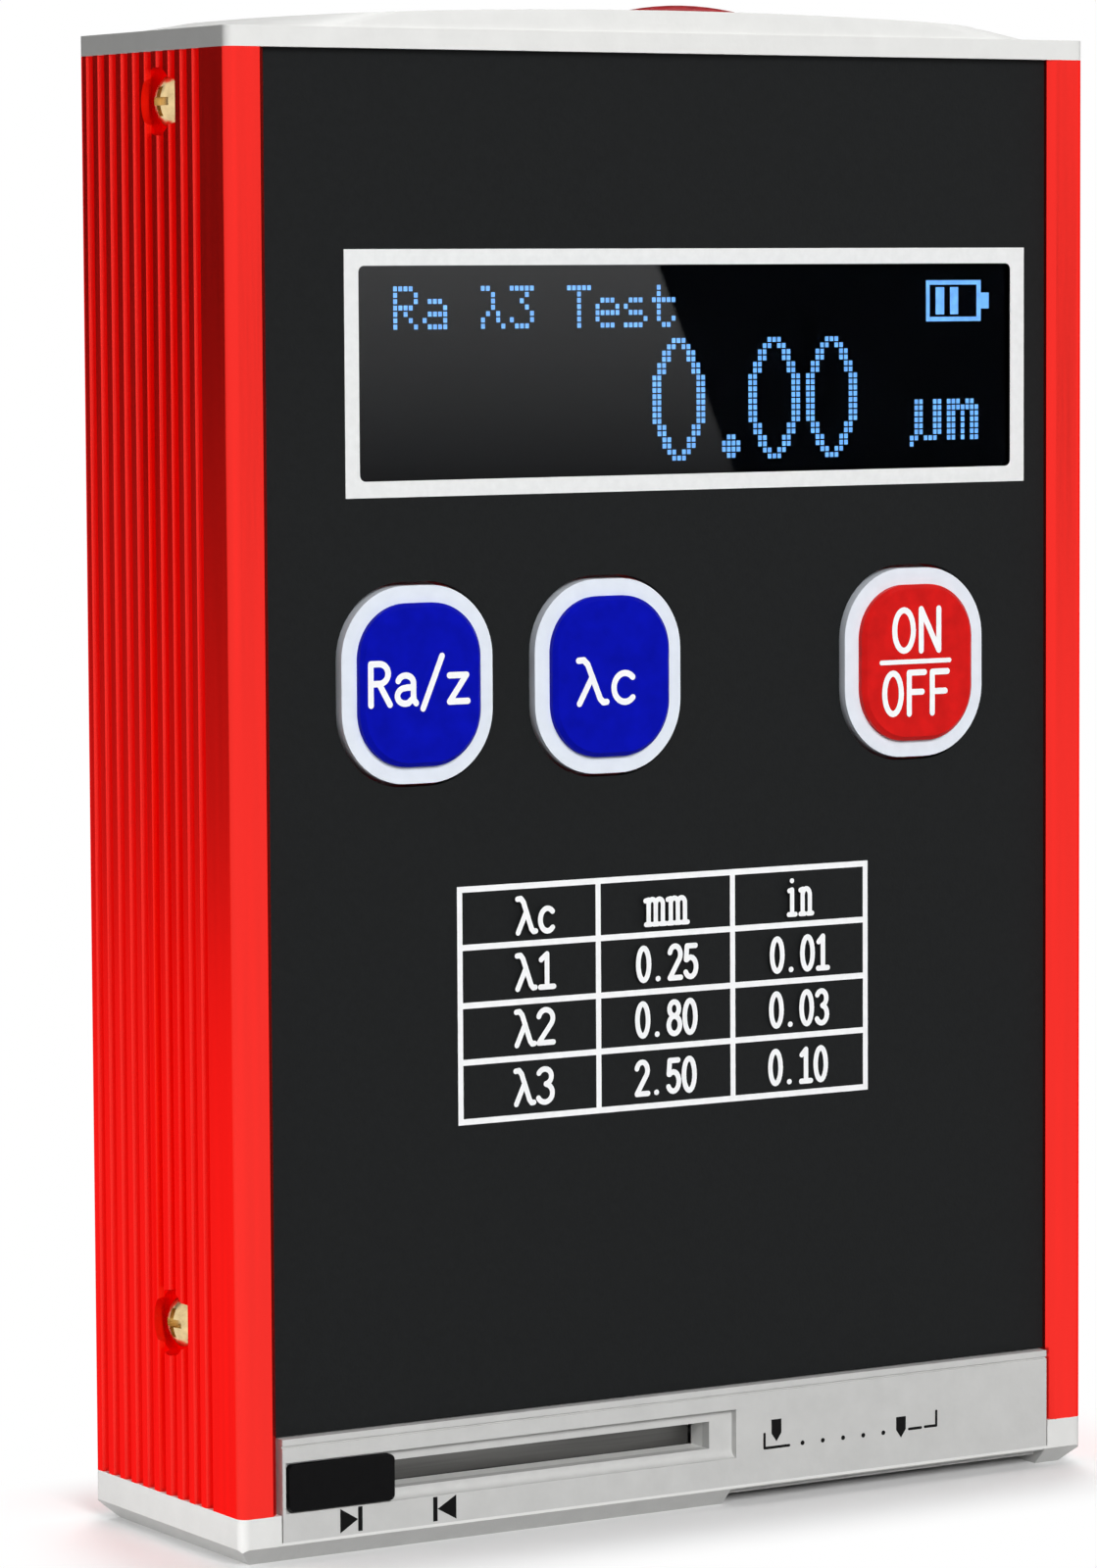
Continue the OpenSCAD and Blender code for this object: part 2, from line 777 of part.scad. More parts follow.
module bottom_cap() {
    wall_z1 = apron_z1 - cover_gap;
    color("#e6e6e4") difference() {
        union() {
            difference() {
                union() {
                    chamfered_base();
                    translate([0, plug_mid_y, foot_h - past]) linear_extrude(wall_z1 - foot_h + past)
                        rounded(2 * plug_x, plug_y1 - plug_y0, cavity_r);
                    block(
                        [cover_gap - panel_x, apron_y1, foot_h - past],
                        [panel_x - cover_gap, inner_front_y, wall_z1]
                    );
                    block(
                        [cavity_r - plug_x, apron_y1, foot_h - past],
                        [plug_x - cavity_r, plug_y0 + past, wall_z1]
                    );
                }
                block([-plug_in_x, slot_wall_y1, sole_t], [plug_in_x, plug_in_y1, wall_z1 + past]);
            }
            block(
                [-plug_in_x - cap_wall / 2, plate_y1 + slide_gap, sole_t - cap_wall / 4],
                [plug_in_x + cap_wall / 2, plate_y1 + slide_gap + rail_t, guide_z0 + guide_t]
            );
            block(
                [-plug_in_x - cap_wall / 2, port_y1, guide_z0],
                [plug_in_x + cap_wall / 2, plate_y1 + slide_gap + rail_t, guide_z0 + guide_t]
            );
            for (side = [-1, 1])
                translate([side * tower_screw_x, (tower_y0 + tower_y1) / 2, (foot_h + frame_z) / 2])
                    cube([tower_t, tower_w, frame_z - foot_h], center = true);
        }
        block([port_x0, port_y0, -past], [port_x1, port_y1, sole_t + past]);
        block([port_x0, front_y - past, -past], [apron_x - relief_edge, port_y0 + past, relief_depth]);
        block([port_x0, front_y - past, -past], [apron_x - relief_edge, apron_y1, notch_depth]);
        block(
            [-apron_x - cover_gap, front_y - past, apron_z0],
            [apron_x + cover_gap, apron_y1, wall_z1 + past]
        );
        slot_cut(apron_y1 - past, slot_wall_y1 + past);
        for (side = [-1, 1]) {
            translate([side * tower_x, screw_y, lower_screw_z]) rotate([0, side * 90, 0])
                cylinder(d = pilot_d, h = tower_t + past);
            for (y = [tower_y0 + tower_screw_inset, tower_y1 - tower_screw_inset])
                translate([side * tower_screw_x, y, frame_z - screw_l]) cylinder(d = pilot_d, h = screw_l + past);
        }
    }
}

module slide_panel() {
    color("#c8c8c6") difference() {
        block([-apron_x, apron_y0, apron_z0], [apron_x, apron_y1, apron_z1]);
        block(
            [pocket_x0, apron_y0 - past, pocket_z0 + pocket_depth],
            [pocket_x1, apron_y0 + pocket_depth, pocket_z1]
        );
        rod_x(pocket_x0, pocket_x1, apron_y0, pocket_z0 + pocket_depth, 2 * pocket_depth);
        slot_cut(apron_y0, apron_y1 + past);
        block(
            [-apron_x - past, apron_y0 - past, apron_z1 - lip_drop - lip_w],
            [apron_x + past, apron_y0 + lip_w, apron_z1 - lip_drop]
        );
    }
}

module shutter_knob() {
    corner = 0.4;
    face_y = apron_y0 - knob_proud;
    color("#161616") {
        upright(face_y, knob_proud + knob_sink)
            translate([knob_x0 + knob_w / 2, knob_z]) rounded(knob_w, knob_h, corner);
        block([stem_x0, face_y, knob_z - stem_h / 2], [stem_x1, plate_y0, knob_z + stem_h / 2]);
    }
}

module shutter_plate() {
    color("silver") {
        block([stem_x0, plate_y0, plate_z0], [plate_x1, plate_y1, plate_z1]);
        block([stem_x0, plate_y0, plate_z0], [strip_x1, plate_y0 + shutter_t, strip_z1]);
    }
}

module drive_frame() {
    color("#b8bcc0") difference() {
        union() {
            block(
                [inner_gap - plug_x, frame_y0, frame_z],
                [plug_x - inner_gap, max(frame_y1, tower_y1), frame_z + frame_t]
            );
            for (x = [left_cheek_x, right_cheek_x])
                block([x, frame_y0, cheek_z0], [x + frame_t, frame_y1, frame_z + frame_t / 2]);
        }
        rod_x(left_cheek_x - past, left_cheek_x + frame_t + past, pickup_y, axis_z, bearing_d + 2 * run_gap);
        rod_x(right_cheek_x - past, right_cheek_x + frame_t + past, pickup_y, axis_z, boss_d + 2 * run_gap);
        for (side = [-1, 1]) {
            rod_x(
                left_cheek_x - past, right_cheek_x + frame_t + past,
                pickup_y + side * rod_reach, rod_z, rod_d + 2 * run_gap
            );
            for (y = [tower_y0 + tower_screw_inset, tower_y1 - tower_screw_inset])
                translate([side * tower_screw_x, y, frame_z - past]) cylinder(d = hole_d, h = frame_t + 2 * past);
        }
    }
}

module frame_screws() {
    color("goldenrod")
        for (side = [-1, 1], y = [tower_y0 + tower_screw_inset, tower_y1 - tower_screw_inset])
            translate([side * tower_screw_x, y, frame_z + frame_t]) pan_screw(screw_l);
}

module gear_motor() {
    cap_d = 5;
    color("silver") difference() {
        union() {
            block(
                [motor_x0, pickup_y - motor_w / 2, axis_z - motor_h / 2],
                [gearbox_x1, pickup_y + motor_w / 2, axis_z + motor_h / 2]
            );
            intersection() {
                rod_x(gearbox_x1, motor_x1, pickup_y, axis_z, motor_w);
                block(
                    [gearbox_x1, pickup_y - motor_w / 2, axis_z - motor_h / 2],
                    [motor_x1, pickup_y + motor_w / 2, axis_z + motor_h / 2]
                );
            }
            rod_x(motor_x1, motor_x1 + motor_cap_l, pickup_y, axis_z, cap_d);
            rod_x(right_cheek_x, motor_x0, pickup_y, axis_z, boss_d);
        }
        rod_x(right_cheek_x - past, gearbox_x1, pickup_y, axis_z, screw_d + 2 * run_gap);
    }
}

module motor_shaft() {
    color("silver") rod_x(shaft_joint_x, gearbox_x1 - inner_gap, pickup_y, axis_z, screw_d);
}

module shaft_coupling() {
    color("#9aa0a6") difference() {
        rod_x(coupling_x0, coupling_x1, pickup_y, axis_z, coupling_d);
        rod_x(coupling_x0 - past, coupling_x1 + past, pickup_y, axis_z, screw_d + run_gap);
    }
}

module lead_screw() {
    color("silver") rod_x(left_cheek_x, shaft_joint_x, pickup_y, axis_z, screw_d);
}

module lead_bearing() {
    color("goldenrod") difference() {
        rod_x(left_cheek_x, left_cheek_x + frame_t, pickup_y, axis_z, bearing_d);
        rod_x(left_cheek_x - past, left_cheek_x + frame_t + past, pickup_y, axis_z, screw_d + 2 * run_gap);
    }
}

module guide_rod(side) {
    color("silver") rod_x(left_cheek_x, right_cheek_x + frame_t, pickup_y + side * rod_reach, rod_z, rod_d);
}

module guide_rod_front() {
    guide_rod(-1);
}

module guide_rod_rear() {
    guide_rod(1);
}

module home_sensor() {
    sensor_l = 6;
    sensor_w = 5;
    sensor_h = 1.8;
    color("#1a1a1a") block(
        [carriage_x0, pickup_y - sensor_w / 2, frame_z - sensor_h],
        [carriage_x0 + sensor_l, pickup_y + sensor_w / 2, frame_z]
    );
}

module carriage() {
    color("#3c4046") difference() {
        union() {
            block([carriage_x0, frame_y0, carriage_z0], [carriage_x1, frame_y1, carriage_z1]);
            for (y = [pickup_y - ear_y0 - ear_t, pickup_y + ear_y0]) {
                block([pivot_x - ear_r, y, pivot_h], [pivot_x + ear_r, y + ear_t, carriage_z0 + past]);
                rod_y(y, y + ear_t, pivot_x, pivot_h, 2 * ear_r);
            }
        }
        rod_x(carriage_x0 - past, carriage_x1 + past, pickup_y, axis_z, nut_d + run_gap);
        for (side = [-1, 1])
            rod_x(carriage_x0 - past, carriage_x1 + past, pickup_y + side * rod_reach, rod_z, rod_d + 2 * run_gap);
        rod_y(frame_y0, frame_y1, pivot_x, pivot_h, pivot_d + run_gap);
    }
}

module lead_nut() {
    color("goldenrod") difference() {
        rod_x(carriage_x0, carriage_x1, pickup_y, axis_z, nut_d);
        rod_x(carriage_x0 - past, carriage_x1 + past, pickup_y, axis_z, screw_d + 2 * run_gap);
    }
}

module pickup_pivot_pin() {
    color("silver")
        rod_y(pickup_y - ear_y0 - ear_t, pickup_y + ear_y0 + ear_t, pivot_x, pivot_h, pivot_d);
}

module pickup_body() {
    neck = 2;
    color("#c9b27a") difference() {
        union() {
            rod_x(tube_x0, nose_x1, pickup_y, pickup_h, pickup_d);
            block(
                [pivot_x, pickup_y - lug_w / 2, pivot_h - lug_r],
                [tube_x0 + neck, pickup_y + lug_w / 2, pickup_h + pickup_d / 2 - inner_gap]
            );
            rod_y(pickup_y - lug_w / 2, pickup_y + lug_w / 2, pivot_x, pivot_h, 2 * lug_r);
        }
        rod_y(frame_y0, frame_y1, pivot_x, pivot_h, pivot_d + 2 * run_gap);
        rod_x(bore_x0, nose_x1 + past, pickup_y, pickup_h, pickup_bore);
        rod_y(frame_y0, frame_y1, lever_x, pickup_h, lever_pin_d + run_gap);
        block(
            [stylus_x - stylus_slot_w / 2, pickup_y - stylus_slot_w / 2, 0],
            [stylus_x + stylus_slot_w / 2 + run_gap, pickup_y + stylus_slot_w / 2, pickup_h]
        );
        translate([skid_x, pickup_y, 0]) cylinder(d = skid_stem_d + run_gap, h = pickup_h);
    }
}

module skid() {
    stem_top = pickup_h - pickup_bore / 2;
    color("#8a1030") translate([skid_x, pickup_y, 0]) {
        translate([0, 0, tip_clear + skid_r]) sphere(r = skid_r);
        translate([0, 0, tip_clear + skid_r]) cylinder(d = skid_stem_d, h = stem_top - tip_clear - skid_r);
    }
}

module stylus_pivot_pin() {
    color("silver")
        rod_y(pickup_y - pickup_d / 2 + 0.1, pickup_y + pickup_d / 2 - 0.1, lever_x, pickup_h, lever_pin_d);
}

module stylus_lever() {
    hub_d = 2.2;
    hub_w = 1.6;
    arm_d = 1;
    color("silver") difference() {
        union() {
            rod_y(pickup_y - hub_w / 2, pickup_y + hub_w / 2, lever_x, pickup_h, hub_d);
            rod_x(lever_x, stylus_x + shank_d / 2, pickup_y, pickup_h, arm_d);
            translate([stylus_x, pickup_y, shank_z0]) cylinder(d = shank_d, h = pickup_h - shank_z0);
        }
        rod_y(frame_y0, frame_y1, lever_x, pickup_h, lever_pin_d + 2 * run_gap);
    }
}

module stylus_tip() {
    point_r = 0.03;
    color("white") translate([stylus_x, pickup_y, tip_clear])
        cylinder(r1 = point_r, r2 = shank_d / 2, h = shank_z0 - tip_clear);
}

module battery() {
    below_top = 4;
    color("#5a7fa8") block(
        [-battery_w / 2, board_y1, board_z1 - below_top - battery_l],
        [battery_w / 2, board_y1 + battery_t, board_z1 - below_top]
    );
}

module buzzer() {
    buzzer_d = 9;
    buzzer_h = 4;
    sound_d = 1.5;
    edge = 6;
    color("#1a1a1a") difference() {
        rod_y(board_y1, board_y1 + buzzer_h, board_w / 2 - edge, board_z0 + edge, buzzer_d);
        rod_y(board_y1 + buzzer_h / 2, board_y1 + buzzer_h + past, board_w / 2 - edge, board_z0 + edge, sound_d);
    }
}

module charge_socket() {
    shell_t = 0.4;
    back_t = 3;
    tongue_t = 0.8;
    tongue_side = 1.4;
    color("silver") {
        difference() {
            block(
                [socket_x1 - socket_l, board_y1, socket_z - socket_w / 2],
                [socket_x1, board_y1 + socket_h, socket_z + socket_w / 2]
            );
            block(
                [socket_x1 - socket_l + back_t, board_y1 + shell_t, socket_z - socket_w / 2 + shell_t],
                [socket_x1 + past, board_y1 + socket_h - shell_t, socket_z + socket_w / 2 - shell_t]
            );
        }
        block(
            [socket_x1 - socket_l + back_t / 2, socket_y - tongue_t / 2, socket_z - socket_w / 2 + tongue_side],
            [socket_x1 - shell_t, socket_y + tongue_t / 2, socket_z + socket_w / 2 - tongue_side]
        );
    }
}

module case_screws() {
    color("goldenrod") at_case_screws() pan_screw(screw_l);
}

housing_tube();
front_overlay();
display_window();
oled_panel();
display_board();
display_header();
main_board();
board_standoffs();
parameter_key();
parameter_key_pad();
parameter_switch();
cutoff_key();
cutoff_key_pad();
cutoff_switch();
power_key();
power_key_pad();
power_switch();
top_cap();
start_button();
start_switch();
start_board();
bottom_cap();
slide_panel();
shutter_knob();
shutter_plate();
drive_frame();
frame_screws();
gear_motor();
motor_shaft();
shaft_coupling();
lead_screw();
lead_bearing();
guide_rod_front();
guide_rod_rear();
home_sensor();
carriage();
lead_nut();
pickup_pivot_pin();
pickup_body();
skid();
stylus_pivot_pin();
stylus_lever();
stylus_tip();
battery();
buzzer();
charge_socket();
case_screws();
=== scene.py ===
"""Looks of the pocket surface roughness tester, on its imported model. Metres; x right, y back, z up."""
import json
import math

import bmesh
import bpy
from mathutils import Matrix, Vector


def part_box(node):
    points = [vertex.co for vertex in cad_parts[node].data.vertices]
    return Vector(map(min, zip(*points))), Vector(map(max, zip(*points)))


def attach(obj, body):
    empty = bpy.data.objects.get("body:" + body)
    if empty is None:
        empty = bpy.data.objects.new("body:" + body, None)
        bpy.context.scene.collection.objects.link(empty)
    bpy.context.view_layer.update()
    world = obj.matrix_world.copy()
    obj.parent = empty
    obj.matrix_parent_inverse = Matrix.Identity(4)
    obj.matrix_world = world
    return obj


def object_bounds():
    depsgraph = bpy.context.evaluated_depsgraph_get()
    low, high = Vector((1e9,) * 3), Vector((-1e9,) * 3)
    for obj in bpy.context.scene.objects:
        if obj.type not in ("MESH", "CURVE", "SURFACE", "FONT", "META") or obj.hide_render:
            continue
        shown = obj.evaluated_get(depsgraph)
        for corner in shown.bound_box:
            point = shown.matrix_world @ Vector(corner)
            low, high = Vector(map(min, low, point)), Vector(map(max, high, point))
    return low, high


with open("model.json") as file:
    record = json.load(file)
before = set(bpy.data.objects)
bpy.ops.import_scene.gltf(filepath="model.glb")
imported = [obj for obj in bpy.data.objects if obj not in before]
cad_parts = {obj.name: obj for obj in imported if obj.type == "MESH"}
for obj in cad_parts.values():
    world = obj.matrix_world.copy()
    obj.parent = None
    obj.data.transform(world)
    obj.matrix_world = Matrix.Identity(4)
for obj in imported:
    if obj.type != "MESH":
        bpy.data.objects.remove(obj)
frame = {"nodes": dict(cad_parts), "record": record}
cad_box = [list(map(float, corner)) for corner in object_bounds()]
nodes = frame["nodes"]
scene = bpy.context.scene
scene.view_settings.view_transform = "Standard"
MM = 0.001


# Materials

LEAST_ROUGH = 0.005
TONE_FROM, TONE_TO = 0.3, 0.7  # stretch of the noise over which a colour goes from dark to light
WEAR_AND_SHEEN_FROM, WEAR_AND_SHEEN_TO = 0.52, 0.6  # pointiness where an edge starts to lighten, partly as wear and partly as a painted highlight, and where it is fully so
WEAR_AND_SHEEN_GAIN, WEAR_AND_SHEEN_LIFT = 1.3, 0.05  # how much lighter an edge is, with its wear and its painted highlight
CLOUD_DETAIL, FINE_DETAIL = 5.0, 3.0
RELIEF_DEPTH = 0.0002


def material(name, color, rough=0.5, metal=0.0, tone=0.05, grain=900.0, stretch=(1, 1, 1), rough_vary=0.06,
             bump=0.02, bump_grain=2500.0, specular=0.5, coat=0.0, edge=0.0, shine=(1, 1, 1)):
    """Principled surface whose colour, roughness and relief vary with noise in the part's own space."""
    mat = bpy.data.materials.new(name)
    mat.use_nodes = True
    tree = mat.node_tree
    new, link = tree.nodes.new, tree.links.new
    shader = tree.nodes["Principled BSDF"]
    shader.inputs["Metallic"].default_value = metal
    shader.inputs["Specular IOR Level"].default_value = specular
    shader.inputs["Specular Tint"].default_value = (*shine, 1)
    shader.inputs["Coat Weight"].default_value = coat
    place = new("ShaderNodeTexCoord")
    squash = new("ShaderNodeMapping")
    squash.inputs["Scale"].default_value = stretch
    link(place.outputs["Object"], squash.inputs["Vector"])
    cloud = new("ShaderNodeTexNoise")
    cloud.inputs["Scale"].default_value = grain
    cloud.inputs["Detail"].default_value = CLOUD_DETAIL
    link(squash.outputs["Vector"], cloud.inputs["Vector"])
    ramp = new("ShaderNodeValToRGB")
    ramp.color_ramp.elements[0].position = TONE_FROM
    ramp.color_ramp.elements[1].position = TONE_TO
    ramp.color_ramp.elements[0].color = [c * (1 - tone) for c in color] + [1]
    ramp.color_ramp.elements[1].color = [min(1.0, c * (1 + tone)) for c in color] + [1]
    link(cloud.outputs["Fac"], ramp.inputs["Fac"])
    paint = ramp.outputs["Color"]
    # Lighter pointed edges: partly wear, partly a painted highlight along the edges
    if edge:
        corner = new("ShaderNodeNewGeometry")
        wear_and_sheen = new("ShaderNodeMapRange")
        wear_and_sheen.inputs["From Min"].default_value = WEAR_AND_SHEEN_FROM
        wear_and_sheen.inputs["From Max"].default_value = WEAR_AND_SHEEN_TO
        wear_and_sheen.inputs["To Max"].default_value = edge
        link(corner.outputs["Pointiness"], wear_and_sheen.inputs["Value"])
        mix = new("ShaderNodeMix")
        mix.data_type = "RGBA"
        mix.inputs["B"].default_value = [min(1.0, c * WEAR_AND_SHEEN_GAIN + WEAR_AND_SHEEN_LIFT) for c in color] + [1]
        link(wear_and_sheen.outputs["Result"], mix.inputs["Factor"])
        link(paint, mix.inputs["A"])
        paint = mix.outputs["Result"]
    link(paint, shader.inputs["Base Color"])
    gloss = new("ShaderNodeMapRange")
    gloss.inputs["To Min"].default_value = max(LEAST_ROUGH, rough - rough_vary)
    gloss.inputs["To Max"].default_value = min(1.0, rough + rough_vary)
    link(cloud.outputs["Fac"], gloss.inputs["Value"])
    link(gloss.outputs["Result"], shader.inputs["Roughness"])
    fine = new("ShaderNodeTexNoise")
    fine.inputs["Scale"].default_value = bump_grain
    fine.inputs["Detail"].default_value = FINE_DETAIL
    link(squash.outputs["Vector"], fine.inputs["Vector"])
    relief = new("ShaderNodeBump")
    relief.inputs["Strength"].default_value = bump
    relief.inputs["Distance"].default_value = RELIEF_DEPTH
    link(fine.outputs["Fac"], relief.inputs["Height"])
    link(relief.outputs["Normal"], shader.inputs["Normal"])
    return mat


def clear(name, tint, ior):
    """Clear hard plastic."""
    mat = material(name, tint, rough=0.01, tone=0.02, rough_vary=0.004, bump=0.0)
    shader = mat.node_tree.nodes["Principled BSDF"]
    shader.inputs["Transmission Weight"].default_value = 1.0
    shader.inputs["IOR"].default_value = ior
    return mat


def glow(name, color, strength):
    """Lit display dots, a little uneven as real ones are."""
    mat = material(name, color, rough=0.4, tone=0.15, grain=1800.0, bump=0.0)
    tree = mat.node_tree
    shader = tree.nodes["Principled BSDF"]
    ramp = next(n for n in tree.nodes if n.type == "VALTORGB")
    tree.links.new(ramp.outputs["Color"], shader.inputs["Emission Color"])
    shader.inputs["Emission Strength"].default_value = strength
    return mat


ALONG_X = (0.1, 4, 4)  # draws the noise out along x, as on ground steel
ALONG_Z = (4, 4, 0.1)  # and along z, as on the extrusion
# Its edges are lightened, partly as wear and partly as a painted highlight along the chamfers
red_anodised = material("red_anodised", (0.92, 0.0115, 0.005), rough=0.22, metal=0.85, tone=0.05, grain=420,
                        stretch=ALONG_Z, rough_vary=0.04, bump=0.04, bump_grain=1800, specular=0.06,
                        edge=0.4, shine=(1, 0.06, 0.04))
overlay_black = material("overlay_black", (0.0098, 0.0106, 0.011), rough=0.6, tone=0.12, grain=2600,
                         bump=0.12, bump_grain=5200, specular=0.1)
clear_lens = clear("clear_lens", (0.92, 0.94, 0.96), 1.45)
display_black = material("display_black", (0.0015, 0.0018, 0.0025), rough=0.3, tone=0.2, bump=0.0,
                         specular=0.0)
board_green = material("board_green", (0.01, 0.12, 0.04), rough=0.42, tone=0.25, grain=300, bump=0.1)
moulded_black = material("moulded_black", (0.02, 0.02, 0.021), rough=0.5, tone=0.15, bump=0.1)
brass = material("brass", (0.78, 0.58, 0.3), rough=0.28, metal=1.0, tone=0.18, grain=1500, bump=0.06)
key_white = material("key_white", (0.76, 0.81, 0.88), rough=0.4, tone=0.03, bump=0.03, specular=0.2)
pad_blue = material("pad_blue", (0.003, 0.006, 0.4), rough=0.4, tone=0.12, grain=700, bump=0.03,
                    specular=0.03)
pad_red = material("pad_red", (0.62, 0.01, 0.009), rough=0.4, tone=0.12, grain=700, bump=0.03, specular=0.1)
cap_white = material("cap_white", (0.76, 0.76, 0.745), rough=0.46, tone=0.025, grain=500, bump=0.06,
                     specular=0.3)
button_red = material("button_red", (0.45, 0.008, 0.014), rough=0.25, tone=0.1, bump=0.02, specular=0.12)
panel_grey = material("panel_grey", (0.57, 0.57, 0.56), rough=0.44, tone=0.035, grain=600, bump=0.06,
                      specular=0.3)
knob_black = material("knob_black", (0.003, 0.003, 0.0033), rough=0.45, tone=0.2, grain=1600, bump=0.15,
                      specular=0.07)
steel = material("steel", (0.6, 0.61, 0.62), rough=0.3, metal=1.0, tone=0.12, grain=600, stretch=ALONG_X,
                 bump=0.05)
# Steel darkened as painted shade, for the strip seen in the slot
painted_shade_steel = material("painted_shade_steel", (0.13, 0.128, 0.124), rough=0.42, metal=1.0, tone=0.25, grain=500,
                      stretch=ALONG_X, bump=0.05)
aluminium = material("frame_aluminium", (0.62, 0.64, 0.66), rough=0.36, metal=1.0, tone=0.1, grain=500,
                     bump=0.06)
carriage_grey = material("carriage_grey", (0.06, 0.065, 0.07), rough=0.5, tone=0.15, bump=0.1)
ruby = material("ruby", (0.45, 0.01, 0.05), rough=0.08, tone=0.1, bump=0.0, coat=0.6)
diamond = material("diamond", (0.85, 0.86, 0.9), rough=0.06, tone=0.05, bump=0.0, coat=0.6)
battery_blue = material("battery_blue", (0.12, 0.22, 0.4), rough=0.35, tone=0.1, grain=300, bump=0.05)
print_white = material("print_white", (0.8, 0.81, 0.81), rough=0.55, tone=0.03, grain=2000, bump=0.03,
                       specular=0.2)
print_bright = material("print_bright", (0.93, 0.94, 0.95), rough=0.55, tone=0.03, grain=2000, bump=0.03,
                        specular=0.2)
print_black = material("print_black", (0.003, 0.003, 0.003), rough=0.55, tone=0.2, grain=2000, bump=0.03,
                       specular=0.1)
dot_blue = glow("dot_blue", (0.12, 0.33, 0.72), 0.75)

BY_SLOT = {
    "red_anodised": red_anodised, "overlay_black": overlay_black, "clear_lens": clear_lens,
    "display_black": display_black, "board_green": board_green, "moulded_black": moulded_black,
    "brass": brass, "key_white": key_white, "pad_blue": pad_blue, "pad_red": pad_red, "cap_white": cap_white,
    "button_red": button_red, "panel_grey": panel_grey, "knob_black": knob_black, "steel": steel,
    "frame_aluminium": aluminium, "carriage_grey": carriage_grey, "ruby": ruby, "diamond": diamond,
    "battery_blue": battery_blue,
}

# Edge rounding of the moulded and machined nodes, in millimetres
ROUNDING = {
    "housing_tube": 0.15, "top_cap": 0.3, "bottom_cap": 0.12, "slide_panel": 0.12, "shutter_knob": 0.3,
    "parameter_key": 0.2, "cutoff_key": 0.2, "power_key": 0.2, "start_button": 0.25, "case_screws": 0.06,
    "front_overlay": 0.05, "charge_socket": 0.08, "drive_frame": 0.2, "carriage": 0.2, "gear_motor": 0.25,
    "battery": 0.6, "shutter_plate": 0.06,
}
ROUNDING_STEPS = 3
SHARP_EDGE = math.radians(35)

for part in frame["record"]["subparts"]:
    obj = nodes[part["node"]]
    obj.data.materials.clear()
    obj.data.materials.append(BY_SLOT[part["material_slot"]])
# The strip seen in the slot is darker than the other steel pieces: painted shade for the shadow in the slot
nodes["shutter_plate"].data.materials[0] = painted_shade_steel
for name, width in ROUNDING.items():
    bevel = nodes[name].modifiers.new("rounding", "BEVEL")
    bevel.width = width * MM
    bevel.segments = ROUNDING_STEPS
    bevel.limit_method = "ANGLE"
    bevel.angle_limit = SHARP_EDGE
    bevel.harden_normals = True


# Printed and lit marks, drawn as thin films. Their sizes and places are in millimetres

HAIR = 0.0004  # from one face of a print to the next
PRINT_GAP = 0.008  # from a surface to the first face printed on it
DOT_GAP = 0.01  # from the display panel to its lit dots
SAME_POINT = 1e-6  # points closer than this count as one


def film(name, faces, surface, body):
    """A mesh of flat faces that look to the front, each given as its y and its corners (x, z)."""
    mesh = bpy.data.meshes.new(name)
    bm = bmesh.new()
    for y, corners in faces:
        points = [bm.verts.new((x * MM, y * MM, z * MM)) for x, z in corners]
        face = bm.faces.new(points)
        face.normal_update()
        if face.normal.y > 0:
            face.normal_flip()
    bm.to_mesh(mesh)
    bm.free()
    obj = bpy.data.objects.new(name, mesh)
    scene.collection.objects.link(obj)
    mesh.materials.append(surface)
    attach(obj, body)


class Sheet:
    """Flat faces, each a step in front of the one before, so that those that overlap don't flicker."""

    def __init__(self, y, step=HAIR):
        self.y = y
        self.step = step
        self.faces = []

    def add(self, corners):
        self.faces.append((self.y - self.step * len(self.faces), corners))

    def bar(self, x0, z0, x1, z1):
        self.add([(x0, z0), (x1, z0), (x1, z1), (x0, z1)])

    def disc(self, x, z, r, sides=14):
        self.add([(x + r * math.cos(2 * math.pi * i / sides), z + r * math.sin(2 * math.pi * i / sides))
                  for i in range(sides)])

    def line(self, points, width):
        """A stroke with round ends and round corners."""
        half = width / 2
        for (x0, z0), (x1, z1) in zip(points, points[1:]):
            length = math.hypot(x1 - x0, z1 - z0)
            if length < SAME_POINT:
                continue
            nx, nz = -(z1 - z0) / length * half, (x1 - x0) / length * half
            self.add([(x0 + nx, z0 + nz), (x0 - nx, z0 - nz), (x1 - nx, z1 - nz), (x1 + nx, z1 + nz)])
        for x, z in points:
            self.disc(x, z, half)

    def done(self, name, surface, body):
        film(name, self.faces, surface, body)


def arc(cx, cz, rx, rz, start, end, n=14):
    """Points along an ellipse, from one angle in degrees to another."""
    angles = [math.radians(start + (end - start) * i / n) for i in range(n + 1)]
    return [(cx + rx * math.cos(a), cz + rz * math.sin(a)) for a in angles]


